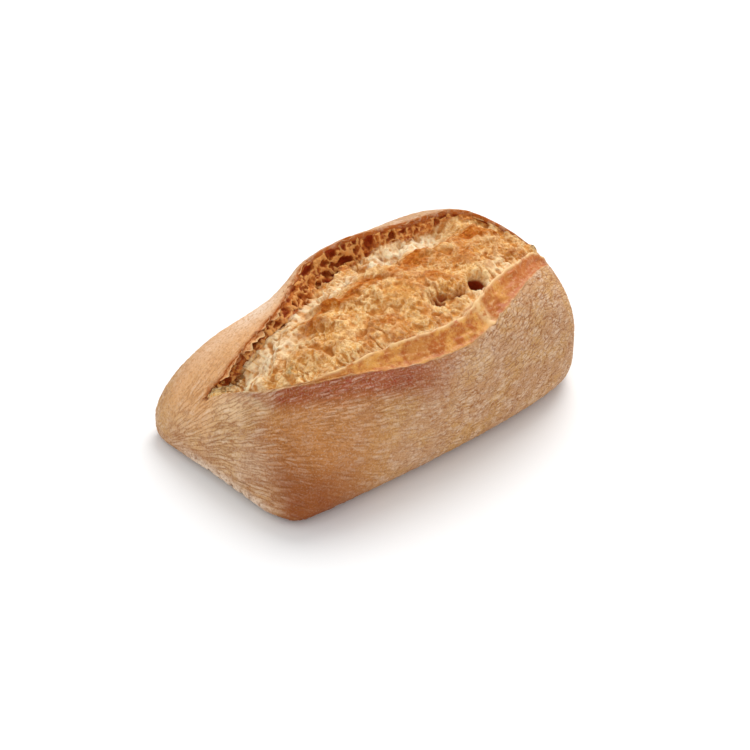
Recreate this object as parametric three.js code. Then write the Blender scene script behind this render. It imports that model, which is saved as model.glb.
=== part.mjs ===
// Bread roll: a short rustic loaf with a flat wedge end, a blunt end and one wide tear along its top.
// The floured skin stops at the near edge of the tear, the far edge stands up as a thin torn lip,
// and the opened crumb between them bulges with ridges, a pocket and holes.
// Millimetres. X runs along the loaf with the blunt end at +X, Y across it with the long floured
// side at -Y, Z up. The origin is the middle of the base, on the table.
import * as THREE from "three";

// Whole loaf
const HALF_LENGTH = 66;
const CROWN_HEIGHT = 54.4;
const CROWN_X = 22.6;
const NEAR_HALF = 40.87;
const FAR_HALF = 38;
const BASE_TRIM = 1.2;

// How the crown falls away to the two ends
const WEDGE_FALL = 2.23;
const WEDGE_ROUND = 2.174;
const BLUNT_FALL = 4.5;
const BLUNT_ROUND = 3.3;

// How the sides close at the two ends, seen from above
const NEAR_BOW = 5.9;
const FAR_BOW = -1.6;
const WEDGE_PLAN = 15;
const BLUNT_PLAN = 8.2;
const PLAN_ROUND = 3.2;
const WEDGE_TIP = 2.606;
const BLUNT_TIP = -1.7;
const TIP_ZONE = 26;
const END_SLANT = -0.056;
const SIDE_REACH = 35;
const FAR_SHOULDER = -0.013;
const SHOULDER_X = 51.963;
const SHOULDER_SPAN = 12;

// Squareness of the cross section, and how the ends lift off the table
const TOP_SQUARE = 2.62;
const TOP_SQUARE_END = 1.978;
const BASE_SQUARE = 4.51;
const WEDGE_LIFT = 5.15;
const WEDGE_LIFT_FROM = -42;
const BLUNT_LIFT = 3;
const BLUNT_LIFT_FROM = 46;
const TIP_DROOP = 1.13;
const SHOULDER_TILT = 0.059;
const TILT_FROM = -8;

// Edges of the tear: [x, degrees round the section], 0 under the loaf, 90 near side, 180 top
const SKIN_EDGE = [
  [-66, 206], [-59.5, 201], [-55, 190], [-51, 174], [-45, 161], [-37, 150],
  [-25, 139], [-8, 128], [10, 124], [20, 127], [31, 133], [42, 138],
  [53, 143], [66, 150],
];
const FAR_LIP = [
  [-66, 208], [-59.5, 203], [-50, 200], [-41, 199], [-30, 200], [-20, 206],
  [-9, 215], [3, 217], [14, 213], [26, 208], [37, 204], [46, 197],
  [52, 189], [56, 170], [58, 158], [66, 156],
];
const TEAR_FROM = -58;
const TEAR_TO = 56.5;
const TEAR_SOFT = 2;
const BAND_WIDTH = 12.5;
const BAND_STEP = 1.1;
const BAND_BEAD = 0.5;

// Standing lip and the gully under it
// How far the lip stands out: [x, mm]
const LIP_STAND = [
  [-60, 0], [-45, 0.6], [-30, 0.8], [-18, 1.8], [-4, 2.7], [14, 2.4], [32, 1.2], [46, 2], [58, 0],
];
const LIP_BACK = 16;
const LIP_JAG = 1.1;
const GULLY_DEPTH = 3;
const GULLY_MIDDLE = 3;
const GULLY_FROM = -16;
const GULLY_TO = 22;
const GULLY_WIDTH = 5;
const GULLY_WIDTH_MIDDLE = 7;
const CLIFF_SHARE = 0.4;
const CLIFF_WIDTH = 2.5;
const LIP_OVERHANG = 0.8;
const FAR_DENT = 5.193;
const DENT_X = -23;
const DENT_SPAN = 13;
const DENT_ANGLE = 237;
const DENT_FAN = 18.229;

// Crumb between the edges
const CREST_ANGLE = 184;
const CREST_WANDER = 4;
const CREST_DROP = 2.2;
const CREST_FROM = -26;
const CREST_TO = 38;
const CRAG_HEIGHT = 1.4;
const CRAG_SIZE = 10;
const CRAG_TURN = 0.65;
const MM_PER_DEGREE = 0.7;
const SWELL_HEIGHT = 0.5;
const SWELL_SIZE = 24;
// Holes: x, degrees round the section, half length, half width in degrees, depth
const DEEP_HOLE = [25, 151, 3.6, 5, 6.5];
const POCKET = [12.5, 152.5, 5, 5, 6];
const POCKET_NECK = [18.5, 150, 4, 3.5, 3];
const CURL_POCKET = [-45.5, 195, 3.4, 3.2, 3.6];
const LIP_HOLES_FROM = -34;
const LIP_HOLES_TO = 44;
const LIP_HOLE_PITCH = 6.4;
const LIP_HOLE_SIZE = 2.2;
const LIP_HOLE_DEPTH = 2.8;

// Mesh fineness
const ROWS = 66;
const BASE_COLUMNS = 3;
const CORNER_COLUMNS = 9;
const NEAR_COLUMNS = 10;
const BAND_COLUMNS = 5;
const CRUMB_COLUMNS = 36;
const FAR_COLUMNS = 12;
const CORNER_FROM = 28;
const CORNER_TO = 60;

// Smooth step from 0 at low to 1 at high
function ramp(low, high, v) {
  const t = THREE.MathUtils.clamp((v - low) / (high - low), 0, 1);
  return t * t * (3 - 2 * t);
}

// 1 between low and high, with soft shoulders
function plateau(low, high, soft, v) {
  return ramp(low - soft, low + soft, v) * (1 - ramp(high - soft, high + soft, v));
}

// Smooth curve through points [x, value], read at v
function curveThrough(points, v) {
  const last = points.length - 1;
  let i = 0;
  while (i < last - 1 && v >= points[i + 1][0]) i += 1;
  const slope = (k) => {
    const a = points[Math.max(k - 1, 0)];
    const b = points[Math.min(k + 1, last)];
    return (b[1] - a[1]) / (b[0] - a[0]);
  };
  const span = points[i + 1][0] - points[i][0];
  const t = THREE.MathUtils.clamp((v - points[i][0]) / span, 0, 1);
  const s = t * t * (3 - 2 * t);
  return (1 - s) * points[i][1] + s * points[i + 1][1]
    + span * ((t ** 3 - 2 * t * t + t) * slope(i) + (t ** 3 - t * t) * slope(i + 1));
}

// Repeatable value from 0 to 1 for a whole-number pair
function draw(i, j, seed) {
  const v = Math.sin(i * 127.1 + j * 311.7 + seed * 74.7) * 43758.5453;
  return v - Math.floor(v);
}

// Smooth noise from 0 to 1 on a unit lattice
function noise(u, v, seed) {
  const i = Math.floor(u);
  const j = Math.floor(v);
  const fu = ramp(0, 1, u - i);
  const fv = ramp(0, 1, v - j);
  const a = draw(i, j, seed) * (1 - fu) + draw(i + 1, j, seed) * fu;
  const b = draw(i, j + 1, seed) * (1 - fu) + draw(i + 1, j + 1, seed) * fu;
  return a * (1 - fv) + b * fv;
}

// Crags of the torn crumb, about -1 to 1: folded noise, bent and turned away from the grid
function crag(x, s) {
  const u = (x * Math.cos(CRAG_TURN) + s * Math.sin(CRAG_TURN)) / CRAG_SIZE;
  const v = (s * Math.cos(CRAG_TURN) - x * Math.sin(CRAG_TURN)) / CRAG_SIZE;
  const bend = 0.8 * (noise(0.7 * u, 0.7 * v, 4) - 0.5);
  return 0.8 - 2 * Math.abs(2 * noise(u + bend, v - bend, 2) - 1);
}

// Height of the top and of the underside, and half widths, at station x
function envelope(x) {
  const wedge = x < CROWN_X;
  const reach = wedge ? CROWN_X + HALF_LENGTH : HALF_LENGTH - CROWN_X;
  const d = Math.min(Math.abs(x - CROWN_X) / reach, 1);
  const rise = (1 - d ** (wedge ? WEDGE_FALL : BLUNT_FALL)) ** (1 / (wedge ? WEDGE_ROUND : BLUNT_ROUND));
  const under = WEDGE_LIFT * ramp(WEDGE_LIFT_FROM, -HALF_LENGTH, x) ** 2
    + BLUNT_LIFT * ramp(BLUNT_LIFT_FROM, HALF_LENGTH, x) ** 2;
  const u = Math.min(Math.abs(x) / HALF_LENGTH, 1);
  const plan = (1 - u ** (x < 0 ? WEDGE_PLAN : BLUNT_PLAN)) ** (1 / PLAN_ROUND);
  const shoulder = 1 + FAR_SHOULDER * Math.exp(-(((x - SHOULDER_X) / SHOULDER_SPAN) ** 2));
  return {
    top: under + (CROWN_HEIGHT - under) * rise,
    under,
    near: (NEAR_HALF - NEAR_BOW * u * u) * plan,
    far: (FAR_HALF - FAR_BOW * u * u) * plan * shoulder,
  };
}

// Point of the plain loaf at station x, degrees round the section
function plainPoint(x, degrees) {
  const { top, under, near, far } = envelope(x);
  const s = Math.sin(THREE.MathUtils.degToRad(degrees));
  const c = Math.cos(THREE.MathUtils.degToRad(degrees));
  const u = Math.abs(x) / HALF_LENGTH;
  const square = c > 0 ? BASE_SQUARE : TOP_SQUARE + (TOP_SQUARE_END - TOP_SQUARE) * u ** 3;
  const r = (Math.abs(s) ** square + Math.abs(c) ** square) ** (-1 / square);
  const y = -(s > 0 ? near : far) * s * r;
  let z = under + ((top - under) / 2) * (1 - c * r);
  const side = y / SIDE_REACH;
  const wedge = ramp(TIP_ZONE - HALF_LENGTH, -HALF_LENGTH, x);
  const blunt = ramp(HALF_LENGTH - TIP_ZONE, HALF_LENGTH, x);
  z = under + (z - under) * (1 - SHOULDER_TILT * ramp(TILT_FROM, -HALF_LENGTH, x) * side);
  z -= TIP_DROOP * under * Math.min(side * side, 1.3) + BASE_TRIM;
  const inward = 1 - Math.min(side * side, 1.2);
  const along = x + (WEDGE_TIP * wedge - BLUNT_TIP * blunt) * inward + END_SLANT * y * (wedge + blunt);
  return new THREE.Vector3(along, y, Math.max(z, 0));
}

// Degrees round the section of the skin edge, the crumb's near edge and the far lip
function tear(x) {
  const skin = curveThrough(SKIN_EDGE, x);
  const jag = LIP_JAG * plateau(TEAR_FROM, TEAR_TO - 8, TEAR_SOFT, x) * (2 * noise(x / 4.4, 0.5, 3) - 1);
  const lip = Math.max(curveThrough(FAR_LIP, x) + jag, skin + 5);
  const band = 1 + BAND_WIDTH * ramp(-38, -2, x) * (1 - 0.2 * ramp(30, 50, x)) * (1 - ramp(50, 60, x));
  return { skin, edge: skin + Math.min(band, 0.4 * (lip - skin)), lip };
}

// Holes along the foot of the far lip, one every pitch, sizes drawn by number
function lipHoles() {
  const holes = [];
  const count = Math.round((LIP_HOLES_TO - LIP_HOLES_FROM) / LIP_HOLE_PITCH);
  for (let k = 0; k <= count; k += 1) {
    const x = LIP_HOLES_FROM + LIP_HOLE_PITCH * (k + 0.6 * (draw(k, 1, 5) - 0.5));
    const middle = plateau(GULLY_FROM, GULLY_TO, 7, x);
    const size = LIP_HOLE_SIZE * (0.5 + 0.4 * draw(k, 2, 5) + 0.4 * middle);
    const angle = tear(x).lip - 3 - (1 + 4 * draw(k, 3, 5)) * (0.5 + middle);
    holes.push([x, angle, size, size * 1.3, LIP_HOLE_DEPTH * (0.6 + 0.7 * draw(k, 4, 5))]);
  }
  return holes;
}

const HOLES = [DEEP_HOLE, POCKET, POCKET_NECK, CURL_POCKET, ...lipHoles()];

// How far the skin or crumb stands out of the plain loaf, and how far it leans to the far side
function relief(x, degrees) {
  const { skin, edge, lip } = tear(x);
  const gap = lip - degrees;
  const open = plateau(TEAR_FROM, TEAR_TO, TEAR_SOFT, x);
  const middle = plateau(GULLY_FROM, GULLY_TO, 7, x);
  const gully = GULLY_DEPTH * plateau(-55, 41, 3, x) + GULLY_MIDDLE * middle;
  const width = GULLY_WIDTH + GULLY_WIDTH_MIDDLE * middle;
  const hump = curveThrough(LIP_STAND, x);
  const s = degrees * MM_PER_DEGREE;
  let out = SWELL_HEIGHT * (2 * noise(x / SWELL_SIZE, s / SWELL_SIZE, 1) - 1) * ramp(62, 40, Math.abs(x));
  out -= FAR_DENT * Math.exp(-(((x - DENT_X) / DENT_SPAN) ** 2) - ((degrees - DENT_ANGLE) / DENT_FAN) ** 2);
  if (gap <= 0) {
    return { out: out + hump * (1 - ramp(0, LIP_BACK, -gap)), lean: 0 };
  }
  out += hump * (1 - ramp(0, 3, gap));
  const wall = CLIFF_SHARE * ramp(0, CLIFF_WIDTH, gap) + (1 - CLIFF_SHARE) * ramp(1.5, width, gap);
  out -= gully * wall * (1 - ramp(width + 1, width + 15, gap));
  out -= BAND_STEP * open * ramp(0, 1.2, degrees - edge);
  if (edge - skin > 2) out += BAND_BEAD * open * plateau(-3, 1, 1.5, degrees - edge);
  const crest = CREST_ANGLE + CREST_WANDER * (2 * noise(x / 9, 0.5, 7) - 1);
  out -= CREST_DROP * plateau(CREST_FROM, CREST_TO, 6, x) * ramp(-3, 3, degrees - crest)
    * (1 - ramp(crest + 8, crest + 22, degrees));
  out += CRAG_HEIGHT * open * crag(x, s) * ramp(1, 8, degrees - edge) * ramp(3, 12, gap);
  for (const [hx, hd, halfLength, halfWidth, depth] of HOLES) {
    const rho = ((x - hx) / halfLength) ** 2 + ((degrees - hd) / halfWidth) ** 2;
    if (rho < 1) out -= depth * (1 - rho) ** 1.5;
  }
  return { out, lean: (LIP_OVERHANG * gully * plateau(3, 7, 2.5, gap)) / (GULLY_DEPTH + GULLY_MIDDLE) };
}

// Finished surface point
function surfacePoint(x, degrees) {
  const p = plainPoint(x, degrees);
  const aheadX = plainPoint(Math.min(x + 0.3, HALF_LENGTH), degrees);
  const behindX = plainPoint(Math.max(x - 0.3, -HALF_LENGTH), degrees);
  const along = aheadX.sub(behindX);
  const round = plainPoint(x, degrees + 0.5).sub(plainPoint(x, degrees - 0.5));
  const outward = new THREE.Vector3().crossVectors(along, round);
  if (outward.length() < 1e-6) return p;
  const { out, lean } = relief(x, degrees);
  if (degrees > 60 && degrees < 300) {
    p.addScaledVector(outward.normalize(), out * ramp(60, 80, degrees) * ramp(300, 280, degrees));
    p.addScaledVector(round.normalize(), lean);
  }
  p.z = Math.max(p.z, 0);
  return p;
}

// Stations spaced evenly along the loaf's own outline, closer where it turns
function stations() {
  const fine = 4000;
  const xs = [];
  const run = [0];
  let before = null;
  for (let k = 0; k <= fine; k += 1) {
    const x = -HALF_LENGTH * Math.cos((Math.PI * k) / fine);
    const e = envelope(x);
    if (before) {
      const widths = 0.35 * (e.near + e.far - before.near - before.far);
      run.push(run[k - 1] + Math.hypot(x - xs[k - 1], e.top - before.top, widths));
    }
    xs.push(x);
    before = e;
  }
  const out = [];
  let k = 0;
  for (let row = 0; row < ROWS; row += 1) {
    const want = (run[fine] * row) / (ROWS - 1);
    while (k < fine - 1 && run[k + 1] < want) k += 1;
    const t = (want - run[k]) / (run[k + 1] - run[k]);
    out.push(xs[k] + t * (xs[k + 1] - xs[k]));
  }
  return out;
}

// Degrees round the section for each column, with columns pinned to the edges of the tear
function columnAngles(x) {
  const { skin, edge, lip } = tear(x);
  const spans = [
    [0, CORNER_FROM, BASE_COLUMNS],
    [CORNER_FROM, CORNER_TO, CORNER_COLUMNS],
    [CORNER_TO, skin, NEAR_COLUMNS],
    [skin, edge, BAND_COLUMNS],
    [edge, lip, CRUMB_COLUMNS],
    [lip, 360 - CORNER_TO, FAR_COLUMNS],
    [360 - CORNER_TO, 360 - CORNER_FROM, CORNER_COLUMNS],
    [360 - CORNER_FROM, 360, BASE_COLUMNS],
  ];
  const out = [];
  for (const [from, to, count] of spans) {
    for (let k = 0; k < count; k += 1) out.push(from + ((to - from) * k) / count);
  }
  return out;
}

// A sphere's grid of faces carries the loaf: its rows become stations, its columns angles
function loafGeometry() {
  const columns = columnAngles(0).length;
  const geometry = new THREE.SphereGeometry(1, columns, ROWS - 1);
  const position = geometry.getAttribute("position");
  const xs = stations();
  let k = 0;
  for (let row = 0; row < ROWS; row += 1) {
    const angles = columnAngles(xs[row]);
    for (let column = 0; column <= columns; column += 1) {
      const end = row === 0 || row === ROWS - 1 || column === columns;
      const p = surfacePoint(xs[row], end ? 0 : angles[column]);
      position.setXYZ(k, p.x, p.y, p.z);
      k += 1;
    }
  }
  geometry.deleteAttribute("normal");
  geometry.computeVertexNormals();
  return geometry;
}

const roll = new THREE.Mesh(
  loafGeometry(),
  new THREE.MeshStandardMaterial({ color: 0xc98f4e, roughness: 0.8, metalness: 0 }),
);
roll.name = "bread_roll";

const loaf = new THREE.Group();
loaf.name = "loaf";
loaf.add(roll);

export default loaf;
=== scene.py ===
"""Looks of a bread roll: a short rustic loaf with a flat wedge end and one wide tear along its top.

Lengths in the shape functions are millimetres, and turned to metres when the mesh is made.
X runs along the loaf with the blunt end at +X, the long floured side faces -Y, Z is up. Degrees
go round a section: 0 is under, 90 the near side, 180 the top, 270 the far side. Where a function
draws noise, what the points are divided by is its size in mm, and the number after it is its seed.
"""
import itertools
import math

import bpy
import numpy as np
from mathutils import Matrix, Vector


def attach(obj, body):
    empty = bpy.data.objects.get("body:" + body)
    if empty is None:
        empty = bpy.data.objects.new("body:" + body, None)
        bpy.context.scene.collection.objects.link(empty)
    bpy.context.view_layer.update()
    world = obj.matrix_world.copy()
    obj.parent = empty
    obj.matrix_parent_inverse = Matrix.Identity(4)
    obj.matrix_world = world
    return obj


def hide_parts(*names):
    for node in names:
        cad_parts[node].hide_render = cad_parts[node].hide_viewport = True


bl_info = {
    "name": "Bread Roll",
    "version": (1, 0, 0),
    "blender": (4, 5, 0),
    "location": "View3D > Sidebar > Bread Roll",
    "description": "Builds the crust, the torn crumb, the lip's flakes and the studio stage of a bread roll",
    "category": "Add Mesh",
}

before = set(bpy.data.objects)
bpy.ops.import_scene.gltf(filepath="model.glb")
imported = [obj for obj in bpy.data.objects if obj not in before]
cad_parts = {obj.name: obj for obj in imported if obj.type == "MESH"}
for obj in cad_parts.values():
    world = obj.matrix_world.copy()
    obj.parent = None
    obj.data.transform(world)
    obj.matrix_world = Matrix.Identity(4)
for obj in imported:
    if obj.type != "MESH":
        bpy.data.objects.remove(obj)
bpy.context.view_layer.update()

# Whole loaf, the same named sizes as the solid
HALF_LENGTH = 66.0
CROWN_HEIGHT = 54.4
CROWN_X = 22.6
NEAR_HALF = 40.87
FAR_HALF = 38.0
BASE_TRIM = 1.2
WEDGE_FALL = 2.23
WEDGE_ROUND = 2.174
BLUNT_FALL = 4.5
BLUNT_ROUND = 3.3
NEAR_BOW = 5.9
FAR_BOW = -1.6
WEDGE_PLAN = 15.0
BLUNT_PLAN = 8.2
PLAN_ROUND = 3.2
WEDGE_TIP = 2.606
BLUNT_TIP = -1.7
TIP_ZONE = 26.0
END_SLANT = -0.056
SIDE_REACH = 35.0
FAR_SHOULDER = -0.013
SHOULDER_X = 51.963
SHOULDER_SPAN = 12.0
TOP_SQUARE = 2.62
TOP_SQUARE_END = 1.978
BASE_SQUARE = 4.51
WEDGE_LIFT = 5.15
WEDGE_LIFT_FROM = -42.0
BLUNT_LIFT = 3.0
BLUNT_LIFT_FROM = 46.0
TIP_DROOP = 1.13
SHOULDER_TILT = 0.059
TILT_FROM = -8.0

# Edges of the tear: x, degrees round the section
SKIN_EDGE = (
    (-66, 206), (-59.5, 201), (-55, 190), (-51, 174), (-45, 161), (-37, 150),
    (-25, 139), (-8, 128), (10, 124), (20, 127), (31, 133), (42, 138),
    (53, 143), (66, 150),
)
FAR_LIP = (
    (-66, 208), (-59.5, 203), (-50, 200), (-41, 199), (-30, 200), (-20, 206),
    (-9, 215), (3, 217), (14, 213), (26, 208), (37, 204), (46, 197),
    (52, 189), (56, 170), (58, 158), (66, 156),
)
TEAR_FROM = -58.0
TEAR_TO = 56.5
TEAR_SOFT = 2.0
BAND_WIDTH = 12.5
BAND_STEP = 1.1
BAND_BEAD = 0.5
LIP_STAND = (
    (-60, 0), (-45, 0.6), (-30, 0.8), (-18, 1.8), (-4, 2.7), (14, 2.4), (32, 1.2), (46, 2), (58, 0),
)
LIP_BACK = 16.0
LIP_JAG = 1.1
GULLY_DEPTH = 3.0
GULLY_MIDDLE = 3.0
GULLY_FROM = -16.0
GULLY_TO = 22.0
GULLY_SOFT = 7.0
GULLY_WIDTH = 5.0
GULLY_WIDTH_MIDDLE = 7.0
CLIFF_SHARE = 0.4
CLIFF_WIDTH = 2.5
LIP_OVERHANG = 0.8
FAR_DENT = 5.193
DENT_X = -23.0
DENT_SPAN = 13.0
DENT_ANGLE = 237.0
DENT_FAN = 18.229
CREST_ANGLE = 184.0
CREST_WANDER = 4.0
CREST_SPAN = 9.0
CREST_DROP = 2.2
CREST_FROM = -26.0
CREST_TO = 38.0
CRAG_HEIGHT = 1.4
CRAG_SIZE = 10.0
CRAG_TURN = 0.65
MM_PER_DEGREE = 0.7
SWELL_HEIGHT = 0.5
SWELL_SIZE = 24.0
DEEP_HOLE = (26.5, 151.5, 4.6, 6.4, 7.0)
POCKET = (12.0, 153.0, 6.0, 7.0, 3.4)
POCKET_NECK = (18.5, 150.0, 4.0, 3.5, 3.0)
CURL_POCKET = (-49.5, 196, 6.0, 3.2, 2.7)
LIP_HOLES_FROM = -34.0
LIP_HOLES_TO = 44.0
LIP_HOLE_PITCH = 6.4
LIP_HOLE_SIZE = 2.2
LIP_HOLE_DEPTH = 2.8

# How wide the torn wall under the far lip is: x, mm. Below it, how far the crumb tucks under both
# edges of the crust, in degrees, and the columns of its hidden underside
WALL_REACH = (
    (-60, 0), (-56, 0.8), (-53, 3.4), (-47, 3.4), (-43, 2.2), (-36, 3.8), (-28, 4.4), (-20, 6.0),
    (-2, 9), (10, 7), (22, 4.5), (38, 3), (50, 1), (60, 0),
)
CRUMB_TUCK = 0.5
UNDERSIDE_COLUMNS = 25
# Soft spots: x, degrees, half length, half width in degrees, strength
CREAM_PATCHES = (
    (-52, 180, 6, 8, 0.5), (-44, 186, 7, 9, 0.6), (-35, 184, 7, 8, 0.6), (-26, 197, 7, 5, 0.8),
    (-15, 197, 7, 6, 1.0), (-2, 199, 5, 5, 0.7), (13, 202, 6, 6, 1.0), (22, 200, 7, 6, 1.0),
    (31, 198, 6, 5, 0.9), (27, 147, 6, 3, 0.6), (39, 154, 5, 5, 0.6),
)
TOAST_PATCHES = (
    (-32, 165, 4, 5, 0.8), (-24, 188, 5, 5, 0.7), (-12, 180, 5, 3.5, 1.0), (-1, 185, 6, 3, 1.0),
    (8, 178, 5, 3, 0.7), (1, 164, 8, 5, 0.3), (30, 174, 9, 8, 0.5), (42, 180, 3, 3, 1.0),
    (46, 162, 5, 7, 0.5), (17, 165, 5, 5, 0.5), (-12, 158, 6, 5, 0.6), (50, 176, 4, 6, 0.5),
)
FLOUR_PATCHES = (
    (-29, 214, 9, 9, 0.95), (-44, 222, 9, 9, 0.35), (8, 112, 14, 7, 0.2), (-64, 152, 4, 22, 0.2),
)
SMOOTH_PATCHES = ((3, 165, 5, 6, 0.9), (27, 181, 4, 4, 0.5))
# Short cleft down from the tear's wedge end, the cream folds beside it and the paler tip
CLEFTS = ((-53.5, 172, 0.9, 7, 1.0),)
FRESH_PATCHES = (
    (-57, 181, 3.6, 9, 0.9), (-59, 192, 2.5, 5, 0.6), (-51, 168, 2.5, 5, 0.5), (-64.5, 205, 3.5, 55, 0.3),
)
# Torn flakes of the lip: x, length, reach over the gully, lift of the free edge
LIP_FLAKES = (
    (-48.5, 12, 3.4, 1.3), (-40, 9, 4.6, 0.5), (-34, 7, 2.4, 0.9), (-29.5, 5.5, 3.4, 0.5),
    (-24.5, 6, 2.0, 0.8), (-17, 5, 1.5, 0.4), (-10, 7, 1.8, 0.1), (8, 8, 1.5, 0.1), (30, 7, 1.7, 0.2),
    (41, 5, 1.7, 0.4),
)
FLAKE_THICKNESS = 0.55
FLAKE_ROWS = 30
FLAKE_COLUMNS = 11
# The ribs' fan point, seen along a slanting axis: its place, and the ring where they have their pitch
FAN_RIGHT = (0.772, -0.636, 0.0)
FAN_UP = (0.370, 0.449, 0.813)
FAN_POINT = (-72.9, -11.5)
FAN_RING = 40.0

# How bread bends light, how far red, green and blue spread in it, m, and its grit and small cells, mm
BREAD_IOR = 1.45
LIGHT_REACH = (0.0012, 0.0009, 0.0007)
GRIT_SIZE = 0.8
WEB_SIZE = 1.35
WEB_BEND = (0.0012, 0.0012, 0.0012)
# What a mask eases between where a coat doesn't say: its levels, its shares there and the easing
EASED = (0.0, 1.0, 0.0, 1.0, "SMOOTHSTEP")

# Lamps: place and width, m
KEY_PLACE = (0.8, 0.45, 1.1)
KEY_WIDTH = 1.1
FILL_PLACE = (-0.9, -0.9, 0.8)
FILL_WIDTH = 0.9
LAMP_AIM = (0, 0, 0.03)
# Camera of the photograph: turn round the loaf and height over the table in degrees, distance in m,
# lens and sensor in mm, and the point it looks at
CAMERA_TURN = -39.5
CAMERA_RISE = 35.57
CAMERA_DISTANCE = 0.9
CAMERA_LENS = 132.0
SENSOR_WIDTH = 36.0
CAMERA_AIM = (-0.0008, -0.0020, 0.0159)


def ramp(low, high, v):
    """Smooth step: 0 at low, 1 at high, 3t^2 - 2t^3 between."""
    t = np.clip((v - low) / (high - low), 0.0, 1.0)
    return t * t * (3 - 2 * t)


def plateau(low, high, soft, v):
    """1 between low and high, falling to 0 over soft on each side."""
    return ramp(low - soft, low + soft, v) * (1 - ramp(high - soft, high + soft, v))


def curve_through(points, v):
    """Cubic Hermite curve through points (x, value), slopes from each point's two neighbours."""
    px, py = np.array(points, float).T
    k = np.arange(len(px))
    before, after = np.maximum(k - 1, 0), np.minimum(k + 1, len(px) - 1)
    slope = (py[after] - py[before]) / (px[after] - px[before])
    i = np.clip(np.searchsorted(px, v, side="right") - 1, 0, len(px) - 2)
    span = px[i + 1] - px[i]
    t = np.clip((v - px[i]) / span, 0, 1)
    s = t * t * (3 - 2 * t)
    bend = (t**3 - 2 * t * t + t) * slope[i] + (t**3 - t * t) * slope[i + 1]
    return (1 - s) * py[i] + s * py[i + 1] + span * bend


def draw(i, j, seed, k=0.0):
    """Repeatable value from 0 to 1 for whole numbers i, j and k: the fraction of a large sine."""
    v = np.sin(i * 127.1 + j * 311.7 + k * 191.9 + seed * 74.7) * 43758.5453
    return v - np.floor(v)


def noise(u, v, seed, k=0.0):
    """Smooth noise from 0 to 1: drawn values on a unit lattice, blended by smooth steps."""
    i, j = np.floor(u), np.floor(v)
    fu, fv = ramp(0, 1, u - i), ramp(0, 1, v - j)
    a = draw(i, j, seed, k) * (1 - fu) + draw(i + 1, j, seed, k) * fu
    b = draw(i, j + 1, seed, k) * (1 - fu) + draw(i + 1, j + 1, seed, k) * fu
    return a * (1 - fv) + b * fv


def layered(u, v, seed, layers=3):
    """Sum of noises, each twice as fine and half as strong, scaled back to 0 to 1."""
    total, weight = 0.0, 0.0
    for k in range(layers):
        total = total + noise(u * 2**k + 7.3 * k, v * 2**k - 3.1 * k, seed + k) / 2**k
        weight += 1 / 2**k
    return total / weight


def cloud(p, seed, layers=3):
    """Layered noise in space at points p: each layer blends two flat noises by the third axis."""
    total, weight = 0.0, 0.0
    for n in range(layers):
        u, v, w = (p[..., a] * 2**n + 5.7 * n for a in range(3))
        k = np.floor(w)
        f = ramp(0, 1, w - k)
        total = total + (noise(u, v, seed + n, k) * (1 - f) + noise(u, v, seed + n, k + 1) * f) / 2**n
        weight += 1 / 2**n
    return total / weight


def bubbles(p, seed):
    """Bubble pattern in space: distance from points p to the nearest and second nearest of centres
    scattered one to a unit cube, and a value from 0 to 1 that belongs to the nearest."""
    first = np.full(p.shape[:-1], 9.0)
    second, own = first.copy(), np.zeros(first.shape)
    cell = np.floor(p)
    for step in itertools.product((-1, 0, 1), repeat=3):
        i, j, k = (cell[..., a] + step[a] for a in range(3))
        centre = np.stack([c + draw(i, j, seed + a, k) for a, c in enumerate((i, j, k))], -1)
        d = np.linalg.norm(centre - p, axis=-1)
        near = d < first
        second = np.where(near, first, np.minimum(second, d))
        own = np.where(near, draw(i, j, seed + 3, k), own)
        first = np.minimum(first, d)
    return first, second, own


def blob(x, degrees, spots):
    """Soft spots on the loaf: each is x, degrees, half length, half width in degrees and strength."""
    total = 0 * x
    for sx, sd, half_length, half_width, strength in spots:
        rho = ((x - sx) / half_length) ** 2 + ((degrees - sd) / half_width) ** 2
        total = total + strength * np.exp(-rho)
    return np.clip(total, 0, 1)


def envelope(x):
    """Top, underside and half widths at station x: superellipse falls from the crown to both ends."""
    wedge = x < CROWN_X
    reach = np.where(wedge, CROWN_X + HALF_LENGTH, HALF_LENGTH - CROWN_X)
    d = np.minimum(np.abs(x - CROWN_X) / reach, 1.0)
    fall, rounding = np.where(wedge, WEDGE_FALL, BLUNT_FALL), np.where(wedge, WEDGE_ROUND, BLUNT_ROUND)
    rise = (1 - d**fall) ** (1 / rounding)
    under = WEDGE_LIFT * ramp(WEDGE_LIFT_FROM, -HALF_LENGTH, x) ** 2
    under = under + BLUNT_LIFT * ramp(BLUNT_LIFT_FROM, HALF_LENGTH, x) ** 2
    u = np.minimum(np.abs(x) / HALF_LENGTH, 1.0)
    plan = (1 - u ** np.where(x < 0, WEDGE_PLAN, BLUNT_PLAN)) ** (1 / PLAN_ROUND)
    shoulder = 1 + FAR_SHOULDER * np.exp(-(((x - SHOULDER_X) / SHOULDER_SPAN) ** 2))
    top = under + (CROWN_HEIGHT - under) * rise
    near = (NEAR_HALF - NEAR_BOW * u * u) * plan
    far = (FAR_HALF - FAR_BOW * u * u) * plan * shoulder
    return top, under, near, far


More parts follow.
